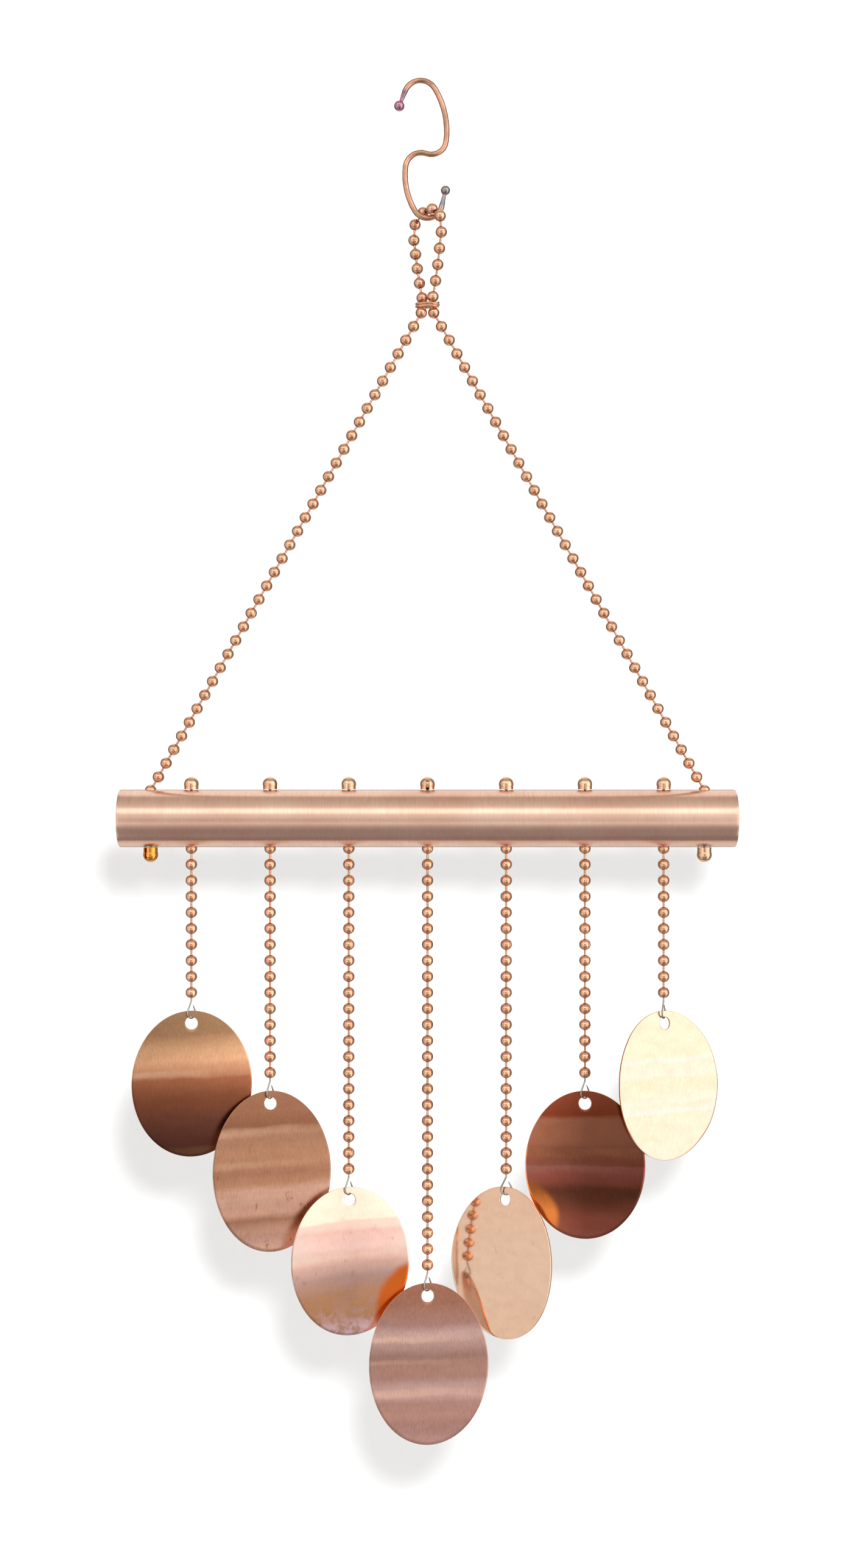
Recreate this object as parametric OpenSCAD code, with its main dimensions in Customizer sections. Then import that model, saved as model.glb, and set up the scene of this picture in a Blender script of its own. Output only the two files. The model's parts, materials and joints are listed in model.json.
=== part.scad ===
// Wind chime: seven oval copper discs hang on ball chains from a copper cross tube.
// The cross tube hangs on one more ball chain, looped over an S-hook and bound with wire.
// +X runs along the tube, +Z is up and -Y is the front. Each sub-part is laid out from the
// middle of the tube, then hung so that the origin is under the top of the S-hook's upper bend.

/* [Cross tube] */
// Outside diameter, half-inch nominal copper water pipe
tube_d = 15.875; // [15:0.125:16]
// Wall thickness
tube_wall = 1.02; // [0.7:0.01:1.2]
// Length
tube_l = 170; // [168:1:200]
// Diameter of the holes drilled across the tube for the chains
cross_hole_d = 3.5; // [3.4:0.05:3.7]
// Distance from the middle of the tube to each hanger chain hole
hanger_hole_x = 76.5; // [76:0.5:80]

/* [Ball chain] */
// Outside diameter of a bead
bead_d = 3.2; // [3:0.05:3.25]
// Thickness of a bead's wall
bead_wall = 0.25; // [0.15:0.05:0.3]
// Diameter of the two holes in a bead
bead_hole_d = 0.94; // [0.9:0.01:1]
// Diameter of the link wire between two beads
link_d = 0.7; // [0.5:0.05:0.75]
// Diameter of the round heads that hold a link inside its beads
link_head_d = 1.1; // [1.05:0.01:1.15]
// Distance from a bead's centre to the link head inside it
link_head_offset = 0.66; // [0.6:0.01:0.7]
// Distance between bead centres on a taut chain
bead_pitch = 4.43; // [4.35:0.01:4.5]

/* [Chimes] */
// Distance between neighbouring chimes
chime_pitch = 21.75; // [21.5:0.05:22]
// Links from the bead in the tube's lower hole to the last bead, chime by chime
links_per_chime = [9, 14, 20, 26, 20, 14, 9];
// Width of a disc
disc_w = 33; // [30:0.5:33]
// Height of each disc, each one cut and hammered by hand
disc_heights = [40, 44, 40.5, 44, 41.5, 40.5, 41];
// Thickness of a disc
disc_t = 0.6; // [0.4:0.1:0.8]
// Radius of the bend that makes a disc bulge towards the front
disc_bend_r = 120; // [80:5:300]
// Diameter of the hole near a disc's top
disc_hole_d = 3.4; // [3:0.1:3.6]
// Distance from a disc's top edge to the middle of its hole
disc_hole_drop = 3.4; // [3.2:0.1:3.8]
// Turn of each disc about its chain, positive where its left edge comes forward
disc_turns = [11, 16, 13, 7, -36, -3, 29];

/* [Wire eyes] */
// Diameter of the steel wire that joins a disc to its chain
eye_wire_d = 0.5; // [0.4:0.05:0.55]
// Distance from the last bead's centre to the bottom of the eye
eye_drop = 7.1; // [7:0.1:7.5]
// Radius of the eye's round bottom
eye_r = 1.5; // [1.4:0.05:1.6]
// Turn of each eye from the plane of its disc
eye_turns = [40, 42, 38, 44, 36, 41, 39];

/* [End covers] */
// Outside diameter of a crimped bead cover
cover_d = 4.1; // [4.05:0.05:4.3]
// Thickness of a cover's wall
cover_wall = 0.3; // [0.2:0.05:0.32]
// Width of the slot that the chain slips through
cover_slot = 0.9; // [0.8:0.05:1.2]
// Turn of the slot of each cover on top of the tube
cover_turns = [205, -20, 170, -90, -20, 5, 175];
// Turn of the slot of the cover at each end of the tube, away from the middle
end_cover_turn = 130; // [90:5:180]
// Gap left between a cover's rim and the tube
cover_seat_gap = 0.08; // [0.05:0.01:0.15]

/* [Hanger] */
// Links from the bead under the wire wrap to the bead in the tube's upper hole
leg_links = 35; // [34:1:36]
// Height of the link that rides over the hook
loop_top_z = 167.95; // [167.9:0.05:168.5]
// Distance between bead centres where the chain bends over the hook
loop_pitch = 4.35; // [4.3:0.01:4.4]
// Turn of the loop's top about the vertical, from the plane of the tube
loop_top_turn = 54; // [50:1:60]
// Turn that is left just above the wire wrap
loop_end_turn = 26; // [20:1:30]
// Bend of the loop at each bead, counted down from its top
loop_bends = [37, 52, 16, -2];
// Beads on each side of the loop above the wire wrap
loop_beads_each_side = 7;
// Distance from the middle to each strand under the wire wrap
strand_x = 1.72; // [1.7:0.01:1.9]
// Height of the bead in each of the tube's upper hanger holes
hole_bead_z = 7.7; // [7.5:0.1:8]

/* [Wire wrap] */
// Diameter of the copper binding wire
wrap_wire_d = 0.7; // [0.6:0.05:0.75]
// Half the length of the oval that the wire is wound round
wrap_half_l = 3.15; // [3.1:0.05:3.2]
// Half the width of that oval
wrap_half_w = 2.1; // [2:0.05:2.2]
// Number of turns
wrap_turns = 2; // [1.5:0.1:2]

/* [S-hook] */
// Diameter of the copper wire
hook_wire_d = 1.6; // [1.3:0.05:1.6]
// Height of the wire at the bottom of the lower bend
hook_bottom_z = 165.93; // [165.8:0.01:165.93]
// Radius of the lower bend that the chain rides on
hook_bend_r = 4; // [4:0.1:4.5]
// Diameter of the ball melted on the lower end
hook_lower_ball_d = 2.6; // [2:0.1:2.8]
// Diameter of the ball melted on the upper end
hook_upper_ball_d = 2.9; // [2:0.1:3]

/* [Hidden] */
$fn = 48;
tube_r = tube_d / 2;
bead_r = bead_d / 2;
chime_count = len(links_per_chime);
middle_chime = (chime_count - 1) / 2;
// Links between a cover's bead and the bead in the hole on the far side of the tube
links_in_tube = 4;
// The first bead of a chime sits half out of the tube's lower hole
hole_bead_drop = 0.35;
chime_hole_bead_z = -tube_r - hole_bead_drop;
top_cover_z = chime_hole_bead_z + links_in_tube * bead_pitch;
lower_cover_z = hole_bead_z - links_in_tube * bead_pitch;
eye_head_d = 1.1;
// Gap between a disc and the eye it rests on
hang_gap = 0.12;
// Difference in diameter between a cover's ball and its collar
cover_step = 0.2;
// Distance between turns of the wire wrap, in wire diameters
wrap_spacing = 1.04;
// Length that the eye's open end falls short of its flank
eye_end_gap = 1.1;
// Longest step and largest turn between the points of a bent wire's path
path_step = 2;
path_turn = 15;
copper = "#c98a68";
bright_copper = "#d69a78";
dark_copper = "#8a5a44";
steel = "#b9b6b0";

// ---- Places ----

function sum(list, count) = count <= 0 ? 0 : list[count - 1] + sum(list, count - 1);

// x of chime n, counted from 1 at the left
function chime_x(n) = (n - 1 - middle_chime) * chime_pitch;

// Bead centres of chime n, from the bead in the cover down to the last bead
function chime_points(n) = [
    for (i = [0 : last_index(n)]) [chime_x(n), 0, top_cover_z - i * bead_pitch]
];
function last_index(n) = links_in_tube + links_per_chime[n - 1];
neck_index = links_in_tube + 1;

// How far the loop's chain has bent from level after a number of beads
function loop_heading(beads) = sum(loop_bends, min(beads, len(loop_bends)));

// Distance sideways and down from the top of the loop to bead i of one side
function loop_offset(i) = i == 1
    ? [loop_pitch / 2, 0]
    : loop_offset(i - 1) + loop_pitch * [cos(loop_heading(i - 1)), sin(loop_heading(i - 1))];

// The loop untwists, ever faster, from its top bead to its last
loop_untwist_power = 1.5;
function loop_turn(i) =
    let (way_down = (i - 1) / (loop_beads_each_side - 1))
    loop_top_turn + (loop_end_turn - loop_top_turn) * way_down ^ loop_untwist_power;

// Bead i of the loop on one side, with side 1 the right and -1 the left
function loop_point(side, i) =
    let (offset = loop_offset(i), turn = loop_turn(i))
    [side * offset[0] * cos(turn), -side * offset[0] * sin(turn), loop_top_z - offset[1]];

// The bead under the wire wrap, one link below the last bead of the loop
function strand_point(side) =
    let (above = loop_point(side, loop_beads_each_side))
    let (sideways = [side * strand_x - above[0], -above[1]])
    [side * strand_x, 0, above[2] - sqrt(loop_pitch ^ 2 - norm(sideways) ^ 2)];

function hole_bead_point(side) = [side * hanger_hole_x, 0, hole_bead_z];

// Hanger bead centres on one side, from the top of the loop to the cover under the tube
function hanger_points(side) = concat(
    [for (i = [1 : loop_beads_each_side]) loop_point(side, i)],
    [for (i = [0 : leg_links])
        strand_point(side) + (hole_bead_point(side) - strand_point(side)) * i / leg_links],
    [for (i = [1 : links_in_tube]) hole_bead_point(side) - [0, 0, i * bead_pitch]]
);
strand_index = loop_beads_each_side;
hole_index = strand_index + leg_links;
cover_index = hole_index + links_in_tube;

// Place of a disc's hanging point, where its hole rests on the eye
function disc_hang_z(n) =
    top_cover_z - last_index(n) * bead_pitch - eye_drop + eye_wire_d / 2 + hang_gap;

// ---- Ball chain ----

// Turns the Z axis to a direction
module aim(direction) {
    rotate([0, acos(direction[2] / norm(direction)), atan2(direction[1], direction[0])]) children();
}

// A hollow bead with a hole along each of two directions.
// The spheres' own poles and seams lie square to the first hole.
module bead(centre, ways) {
    translate(centre) difference() {
        aim(ways[0]) rotate([90, 0, 0]) sphere(d = bead_d);
        aim(ways[0]) rotate([90, 0, 0]) sphere(d = bead_d - 2 * bead_wall);
        for (way = ways) aim(way) translate([0, 0, bead_r / 2]) cylinder(d = bead_hole_d, h = bead_r);
    }
}

// A link with a round head inside each of two beads
module link(from, to) {
    way = (to - from) / norm(to - from);
    reach = norm(to - from) - 2 * link_head_offset;
    translate(from + link_head_offset * way) aim(way) union() {
        sphere(d = link_head_d);
        cylinder(d = link_d, h = reach);
        translate([0, 0, reach]) sphere(d = link_head_d);
    }
}

// Beads first to last of a row of centres, each drilled towards its neighbours
module chain_beads(points, first, last) {
    end = len(points) - 1;
    for (i = [first : last]) {
        back = i > 0 ? points[i - 1] - points[i] : points[i] - points[i + 1];
        on = i < end ? points[i + 1] - points[i] : points[i] - points[i - 1];
        bead(points[i], [back, on]);
    }
}

// Links that leave beads first to last of a row of centres
module chain_links(points, first, last) {
    for (i = [first : last]) link(points[i], points[i + 1]);
}

// A folded cover with its ball at a bead and its rim a height above the ball's centre
module crimp_cover(rim_h, turn) {
    inner_d = cover_d - 2 * cover_wall;
    rotate([0, 0, turn]) difference() {
        union() {
            sphere(d = cover_d);
            cylinder(d = cover_d - cover_step, h = rim_h);
        }
        sphere(d = inner_d);
        cylinder(d = inner_d - cover_step, h = rim_h + 1);
        translate([0, -cover_slot / 2, -cover_d / 4]) cube([cover_d, cover_slot, rim_h + cover_d]);
    }
}

// ---- Bent wire ----

// Centre points of a bent wire, from a start along runs of [radius, turn] or [length, 0]
function wire_path(start, heading, runs, i = 0) =
    i == len(runs) ? [start] :
    let (size = runs[i][0], turn = runs[i][1])
    let (steps = turn == 0 ? 1 : ceil(max(abs(turn) / path_turn, size * abs(turn) * PI / 180 / path_step)))
    let (centre = start + sign(turn) * size * [-sin(heading), cos(heading)])
    let (places = [for (k = [0 : steps])
        let (h = heading + turn * k / steps)
        turn == 0
            ? start + size * k * [cos(h), sin(h)]
            : centre + sign(turn) * size * [sin(h), -cos(h)]])
    concat([for (k = [0 : steps - 1]) places[k]], wire_path(places[steps], heading + turn, runs, i + 1));

// A wire of one thickness through a row of points that never runs along a given direction
module swept_wire(points, d, sides, clear_way = [0, 1, 0]) {
    end = len(points) - 1;
    function along(i) = let (way = points[min(i + 1, end)] - points[max(i - 1, 0)]) way / norm(way);
    function across(i) = let (way = cross(clear_way, along(i))) way / norm(way);
    function ring(i, scale) = [
        for (k = [0 : sides - 1])
            let (a = 360 * k / sides)
            points[i] + scale * d / 2 * (cos(a) * across(i) + sin(a) * cross(along(i), across(i)))
    ];
    corners = [for (i = [0 : end]) each ring(i, i == 0 || i == end ? 0.5 : 1)];
    skin = [
        for (i = [0 : end - 1], k = [0 : sides - 1])
            let (a = i * sides + k, b = i * sides + (k + 1) % sides)
            [a, a + sides, b + sides, b]
    ];
    caps = [[for (k = [0 : sides - 1]) k], [for (k = [sides - 1 : -1 : 0]) end * sides + k]];
    polyhedron(corners, concat(skin, caps), convexity = 10);
}

// ---- Sub-parts ----

// From its lower ball the wire runs down round the bend that holds the chain, then up the S.
// The lower bend is level at the middle of the chime.
hook_end_turn = 77;
hook_rise_turn = 59;
hook_end_l = 4.7;
hook_runs = [
    [hook_end_l, 0],
    [hook_bend_r, -hook_end_turn - hook_rise_turn],
    [19.5, -38],
    [4.3, -103],
    [4.1, 103],
    [23, 38],
    [4.6, 128],
    [4.4, 0]
];
hook_lower_end = [
    hook_bend_r * sin(hook_end_turn) + hook_end_l * cos(hook_end_turn),
    hook_bend_r * (1 - cos(hook_end_turn)) + hook_end_l * sin(hook_end_turn)
];
hook_path = [
    for (p = wire_path(hook_lower_end, hook_end_turn + 180, hook_runs))
        [p[0], 0, hook_bottom_z + p[1]]
];

// Where the chime hangs: under the wire at the highest point of the S-hook
function highest(points) =
    let (z = max([for (p = points) p[2]]))
    [for (p = points) if (p[2] == z) p][0];
hang_point = highest(hook_path) - [0, 0, hook_wire_d / 2];

// Moves a sub-part from the tube's frame to the hanging point's
module hung() {
    translate(-hang_point) children();
}

module s_hook() {
    color(copper) union() {
        swept_wire(hook_path, hook_wire_d, 12);
        translate(hook_path[0]) sphere(d = hook_lower_ball_d);
        translate(hook_path[len(hook_path) - 1]) sphere(d = hook_upper_ball_d);
    }
}

module loop_beads() {
    color(copper) for (side = [-1, 1]) {
        // The two topmost beads are drilled towards each other across the hook
        points = concat([loop_point(-side, 1)], hanger_points(side));
        chain_beads(points, 1, strand_index + 1);
    }
}

module loop_links() {
    color(bright_copper) {
        link(loop_point(-1, 1), loop_point(1, 1));
        for (side = [-1, 1]) chain_links(hanger_points(side), 0, strand_index - 1);
    }
}

// One point on the wrap's centre line, wound down round an oval across both strands
function wrap_point(turns) =
    let (rise = (wrap_turns / 2 - turns) * wrap_wire_d * wrap_spacing)
    [wrap_half_l * cos(turns * 360), wrap_half_w * sin(turns * 360), rise];

module wire_wrap() {
    steps_per_turn = 20;
    above = loop_point(1, loop_beads_each_side);
    centre_z = (above[2] + strand_point(1)[2]) / 2;
    lean = atan2(above[1], above[0] + strand_x);
    color(dark_copper) translate([0, 0, centre_z]) rotate([0, 0, lean])
        swept_wire([for (t = [0 : 1 / steps_per_turn : wrap_turns]) wrap_point(t)], wrap_wire_d, 8, [0, 0, 1]);
}

module leg_beads(side) {
    color(copper) chain_beads(hanger_points(side), strand_index + 1, hole_index - 1);
}

module leg_links(side) {
    color(bright_copper) chain_links(hanger_points(side), strand_index, hole_index - 1);
}

module cross_tube() {
    color(copper) difference() {
        translate([-tube_l / 2, 0, 0]) rotate([0, 90, 0]) difference() {
            cylinder(d = tube_d, h = tube_l, $fn = 96);
            translate([0, 0, -1]) cylinder(d = tube_d - 2 * tube_wall, h = tube_l + 2, $fn = 96);
        }
        for (n = [1 : chime_count]) tube_cross_hole(chime_x(n));
        for (side = [-1, 1]) tube_cross_hole(side * hanger_hole_x);
    }
}

module tube_cross_hole(x) {
    translate([x, 0, -tube_d]) cylinder(d = cross_hole_d, h = 2 * tube_d);
}

module tube_beads() {
    color(copper) {
        for (n = [1 : chime_count]) chain_beads(chime_points(n), 0, links_in_tube);
        for (side = [-1, 1]) chain_beads(hanger_points(side), hole_index, cover_index);
    }
}

module tube_links() {
    color(bright_copper) {
        for (n = [1 : chime_count]) chain_links(chime_points(n), 0, links_in_tube - 1);
        for (side = [-1, 1]) chain_links(hanger_points(side), hole_index, cover_index - 1);
    }
}

// The cover that stops chime n's chain on top of the tube
module chime_cover(n) {
    rim_h = top_cover_z - tube_r - cover_seat_gap;
    color(bright_copper) translate([chime_x(n), 0, top_cover_z]) mirror([0, 0, 1])
        crimp_cover(rim_h, cover_turns[n - 1]);
}

// The cover that carries one end of the tube on the hanger chain
module end_cover(side) {
    rim_h = -tube_r - cover_seat_gap - lower_cover_z;
    color(bright_copper) translate([side * hanger_hole_x, 0, lower_cover_z])
        crimp_cover(rim_h, side * end_cover_turn);
}

// The first link and bead under the tube, where the chain bends as a chime sways
module chime_neck(n) {
    color(copper) chain_beads(chime_points(n), neck_index, neck_index);
    color(bright_copper) chain_links(chime_points(n), links_in_tube, links_in_tube);
}

module chime_beads(n) {
    color(copper) chain_beads(chime_points(n), neck_index + 1, last_index(n));
}

module chime_links(n) {
    color(bright_copper) chain_links(chime_points(n), neck_index, last_index(n) - 1);
}

// A wire with its head in the last bead, bent down into an eye through the disc's hole
module chime_eye(n) {
    last = chime_points(n)[last_index(n)];
    slant = 27;
    stem_l = 1.4;
    neck_r = 1;
    // The flanks are as long as it takes to reach the eye's bottom
    flank_l = (eye_drop - link_head_offset - stem_l - eye_r - (neck_r + eye_r) * sin(slant)) / cos(slant);
    runs = [
        [stem_l, 0],
        [neck_r, -slant],
        [flank_l, 0],
        [eye_r, 180 + 2 * slant],
        [flank_l - eye_end_gap, 0]
    ];
    path = [for (p = wire_path([0, -link_head_offset], -90, runs)) [p[0], 0, p[1]]];
    color(steel) translate(last) rotate([0, 0, disc_turns[n - 1] + eye_turns[n - 1]]) union() {
        translate(path[0]) sphere(d = eye_head_d);
        swept_wire(path, eye_wire_d, 8);
    }
}

// A bowed oval sheet with its hanging point at the origin and its bulge towards -Y
module disc_sheet(height) {
    middle_z = disc_hole_drop - disc_hole_d / 2 - height / 2;
    hole_back = disc_bend_r - sqrt(disc_bend_r ^ 2 - middle_z ^ 2);
    mean_back = height ^ 2 / 16 / (2 * disc_bend_r);
    // The sheet leans so that its weight hangs straight below the hanging point
    lean = atan((hole_back - mean_back) / -middle_z);
    rotate([-lean, 0, 0]) translate([0, -hole_back, middle_z]) difference() {
        intersection() {
            rotate([90, 0, 0]) scale([disc_w / height, 1, 1])
                cylinder(d = height, h = disc_w, center = true, $fn = 120);
            translate([0, disc_bend_r, 0]) rotate([0, 90, 0]) difference() {
                cylinder(r = disc_bend_r + disc_t / 2, h = 2 * disc_w, center = true, $fn = 360);
                cylinder(r = disc_bend_r - disc_t / 2, h = 2 * disc_w + 2, center = true, $fn = 360);
            }
        }
        translate([0, 0, height / 2 - disc_hole_drop]) rotate([90, 0, 0])
            cylinder(d = disc_hole_d, h = disc_w, center = true);
    }
}

module chime_disc(n) {
    color(copper) translate([chime_x(n), 0, disc_hang_z(n)]) rotate([0, 0, disc_turns[n - 1]])
        disc_sheet(disc_heights[n - 1]);
}

hung() s_hook();
hung() loop_beads();
hung() loop_links();
hung() wire_wrap();
hung() leg_beads(-1);  // left_leg_beads
hung() leg_links(-1);  // left_leg_links
hung() leg_beads(1);  // right_leg_beads
hung() leg_links(1);  // right_leg_links
hung() cross_tube();
hung() tube_beads();
hung() tube_links();
hung() end_cover(-1);  // left_end_cover
hung() end_cover(1);  // right_end_cover
hung() chime_cover(1);  // chime_1_cover
hung() chime_cover(2);  // chime_2_cover
hung() chime_cover(3);  // chime_3_cover
hung() chime_cover(4);  // chime_4_cover
hung() chime_cover(5);  // chime_5_cover
hung() chime_cover(6);  // chime_6_cover
hung() chime_cover(7);  // chime_7_cover
hung() chime_neck(1);  // chime_1_neck
hung() chime_neck(2);  // chime_2_neck
hung() chime_neck(3);  // chime_3_neck
hung() chime_neck(4);  // chime_4_neck
hung() chime_neck(5);  // chime_5_neck
hung() chime_neck(6);  // chime_6_neck
hung() chime_neck(7);  // chime_7_neck
hung() chime_beads(1);  // chime_1_beads
hung() chime_beads(2);  // chime_2_beads
hung() chime_beads(3);  // chime_3_beads
hung() chime_beads(4);  // chime_4_beads
hung() chime_beads(5);  // chime_5_beads
hung() chime_beads(6);  // chime_6_beads
hung() chime_beads(7);  // chime_7_beads
hung() chime_links(1);  // chime_1_links
hung() chime_links(2);  // chime_2_links
hung() chime_links(3);  // chime_3_links
hung() chime_links(4);  // chime_4_links
hung() chime_links(5);  // chime_5_links
hung() chime_links(6);  // chime_6_links
hung() chime_links(7);  // chime_7_links
hung() chime_eye(1);  // chime_1_eye
hung() chime_eye(2);  // chime_2_eye
hung() chime_eye(3);  // chime_3_eye
hung() chime_eye(4);  // chime_4_eye
hung() chime_eye(5);  // chime_5_eye
hung() chime_eye(6);  // chime_6_eye
hung() chime_eye(7);  // chime_7_eye
hung() chime_disc(1);  // chime_1_disc
hung() chime_disc(2);  // chime_2_disc
hung() chime_disc(3);  // chime_3_disc
hung() chime_disc(4);  // chime_4_disc
hung() chime_disc(5);  // chime_5_disc
hung() chime_disc(6);  // chime_6_disc
hung() chime_disc(7);  // chime_7_disc
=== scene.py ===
"""Looks of the wind chime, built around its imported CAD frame.

Lengths in the constants are in millimetres, but the stage's are in metres, and so are all meshes.
"""

import json
import math

import bpy
import numpy as np
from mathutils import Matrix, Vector, noise
from mathutils.bvhtree import BVHTree


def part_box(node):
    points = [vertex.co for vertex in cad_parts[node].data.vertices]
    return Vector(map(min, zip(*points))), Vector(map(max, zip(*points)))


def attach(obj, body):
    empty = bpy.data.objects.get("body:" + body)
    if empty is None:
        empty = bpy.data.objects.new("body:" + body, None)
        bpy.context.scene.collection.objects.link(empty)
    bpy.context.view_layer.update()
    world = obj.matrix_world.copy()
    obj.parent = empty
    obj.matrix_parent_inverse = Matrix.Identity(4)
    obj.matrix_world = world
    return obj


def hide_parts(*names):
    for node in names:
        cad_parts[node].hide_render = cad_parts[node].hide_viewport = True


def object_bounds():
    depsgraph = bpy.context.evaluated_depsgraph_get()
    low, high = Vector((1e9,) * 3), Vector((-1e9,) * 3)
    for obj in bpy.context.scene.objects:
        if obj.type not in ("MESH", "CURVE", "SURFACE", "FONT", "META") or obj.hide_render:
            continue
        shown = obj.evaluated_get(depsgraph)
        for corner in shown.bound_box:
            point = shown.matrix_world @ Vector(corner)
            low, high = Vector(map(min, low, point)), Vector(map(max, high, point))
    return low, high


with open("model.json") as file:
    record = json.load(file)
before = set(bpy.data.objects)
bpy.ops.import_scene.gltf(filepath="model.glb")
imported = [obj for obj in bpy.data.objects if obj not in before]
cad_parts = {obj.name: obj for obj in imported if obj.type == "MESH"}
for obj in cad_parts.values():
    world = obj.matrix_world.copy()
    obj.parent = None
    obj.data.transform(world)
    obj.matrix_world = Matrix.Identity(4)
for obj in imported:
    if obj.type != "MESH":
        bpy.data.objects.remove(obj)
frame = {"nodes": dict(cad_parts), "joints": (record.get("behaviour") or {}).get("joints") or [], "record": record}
cad_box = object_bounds()
joints = {joint["name"]: joint for joint in frame["joints"]}
slots = {part["node"]: part["material_slot"] for part in frame["record"]["subparts"]}

MM = 0.001
CHIMES = range(1, 8)
# Points of a CAD mesh closer than one part in this many of a millimetre are one point
WELDS_PER_MM = 1e4


# ---- Reading the frame ----


def node_mesh(node):
    """Vertex positions and triangles of a CAD node."""
    mesh = frame["nodes"][node].data
    points = np.empty(len(mesh.vertices) * 3, np.float32)
    mesh.vertices.foreach_get("co", points)
    corners = np.empty(len(mesh.loops), np.int32)
    mesh.loops.foreach_get("vertex_index", corners)
    return points.reshape(-1, 3).astype(float), corners.reshape(-1, 3)


def solids(node):
    """Vertex positions of each separate solid of a CAD node."""
    points, faces = node_mesh(node)
    grid = np.round(points / MM * WELDS_PER_MM).astype(np.int64)
    welded, same = np.unique(grid, axis=0, return_inverse=True)
    faces = same.reshape(-1)[faces]
    label = np.arange(len(welded))
    while True:
        low = label[faces].min(axis=1)
        if (label[faces] == low[:, None]).all():
            break
        np.minimum.at(label, faces.ravel(), np.repeat(low, 3))
        label = label[label]
    label = label[same.reshape(-1)]
    order = np.argsort(label, kind="stable")
    cuts = np.flatnonzero(np.diff(label[order])) + 1
    return [points[group] for group in np.split(order, cuts)]


def middle(points):
    return (points.min(axis=0) + points.max(axis=0)) / 2


def thickness(points):
    """How thick a solid is in its thinnest direction, estimated as three times its points' spread."""
    return 3 * math.sqrt(np.linalg.eigvalsh(np.cov(points.T))[0])


def unit(vector):
    return vector / np.linalg.norm(vector)


def body_of(node):
    """The body that a CAD node belongs to."""
    return next(body for body, nodes in frame["record"]["behaviour"]["bodies"].items() if node in nodes)


# ---- Making pieces ----


def add_piece(node, points, faces, material, attributes=None):
    """A smooth-shaded mesh that stands for a CAD node and rides on its body."""
    mesh = bpy.data.meshes.new(node + "_fine")
    mesh.from_pydata([tuple(p) for p in points], [], [tuple(map(int, f)) for f in faces])
    mesh.shade_smooth()
    for name, values in (attributes or {}).items():
        mesh.attributes.new(name, "FLOAT", "POINT").data.foreach_set("value", values.astype(np.float32))
    mesh.materials.append(material)
    piece = bpy.data.objects.new(mesh.name, mesh)
    bpy.context.scene.collection.objects.link(piece)
    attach(piece, body_of(node))
    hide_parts(node)
    return piece


def ring_faces(rings, sides, closed):
    """Quads between neighbouring rings of points, and two end caps unless the rows close on themselves."""
    count = rings if closed else rings - 1
    faces = []
    for ring in range(count):
        here, there = ring * sides, (ring + 1) % rings * sides
        for side in range(sides):
            along = (side + 1) % sides
            faces.append((here + side, here + along, there + along, there + side))
    if not closed:
        faces.append(tuple(range(sides))[::-1])
        faces.append(tuple(range((rings - 1) * sides, rings * sides)))
    return faces


def lathe(profile, turns):
    """Points of a profile of (radius, height) turned about Z at each angle."""
    return np.array([(r * math.cos(a), r * math.sin(a), z) for r, z in profile for a in turns])


def mirrored(profile):
    """The same outline beyond height 0, in reverse order."""
    return [(r, -z) for r, z in profile[::-1]]


def join(blocks, faces):
    """One mesh from copies that share their faces' pattern."""
    joined = []
    for index, block in enumerate(blocks):
        start = index * len(block)
        joined += [tuple(corner + start for corner in face) for face in faces]
    return np.vstack(blocks), joined


def upright(axis, spin):
    """Rotation whose Z column is an axis, turned by spin about it."""
    leans_back = abs(axis[1]) > 0.9
    side = np.array([1.0, 0.0, 0.0]) if leans_back else np.array([0.0, 1.0, 0.0])
    first = unit(np.cross(side, axis))
    second = np.cross(axis, first)
    turned = math.cos(spin) * first + math.sin(spin) * second
    return np.stack([turned, np.cross(axis, turned), axis], axis=1)


# ---- Ball chain ----

BEAD_R = 1.6
BEAD_WALL = 0.25
BEAD_HOLE_R = 0.47
BEAD_LIP = 0.12
# The rolled lip of a bead's hole: (how far across the lip, height over where the ball starts)
BEAD_LIP_STEPS = [(0, -0.1), (0.15, -0.02), (0.5, 0.02)]
BEAD_RINGS = 17
BEAD_SIDES = 32
INNER_RINGS = 7
SEAM_WIDTH = math.radians(1.6)
SEAM_DEPTH = 0.045
# How far below the ball a point may lie and still belong to its outside
SKIN_TOLERANCE = 0.01
# A chain that turns less than this at a bead, in radians, is straight there
STRAIGHT = 1e-4
# How far the painted shade and grime round a bead's hole reach, in radii of its lip
HOLE_DARKENING_REACH = 1.6
LINK_R = 0.34
LINK_WAIST_R = 0.31
LINK_WAIST_PLACE = 0.35
LINK_HEAD_R = 0.54
LINK_HEAD_OFFSET = 0.66
LINK_HEAD_ANGLES = np.radians([14, 45, 75, 105])
LINK_NECK = 0.1
LINK_SIDES = 14


def bead_profile():
    """Closed outline of a bead's wall, from the lip of its upper hole down the outside and back up inside."""
    lip_angle = math.asin((BEAD_HOLE_R + BEAD_LIP) / BEAD_R)
    outside = [
        (BEAD_R * math.sin(a), BEAD_R * math.cos(a))
        for a in np.linspace(lip_angle, math.pi - lip_angle, BEAD_RINGS)
    ]
    lip_z = BEAD_R * math.cos(lip_angle)
    lip = [(BEAD_HOLE_R + share * BEAD_LIP, lip_z + rise) for share, rise in BEAD_LIP_STEPS]
    inner_r = BEAD_R - BEAD_WALL
    inner_angle = math.asin(BEAD_HOLE_R / inner_r)
    inside = [
        (inner_r * math.sin(a), inner_r * math.cos(a))
        for a in np.linspace(math.pi - inner_angle, inner_angle, INNER_RINGS)
    ]
    return lip + outside + mirrored(lip) + inside


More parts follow.
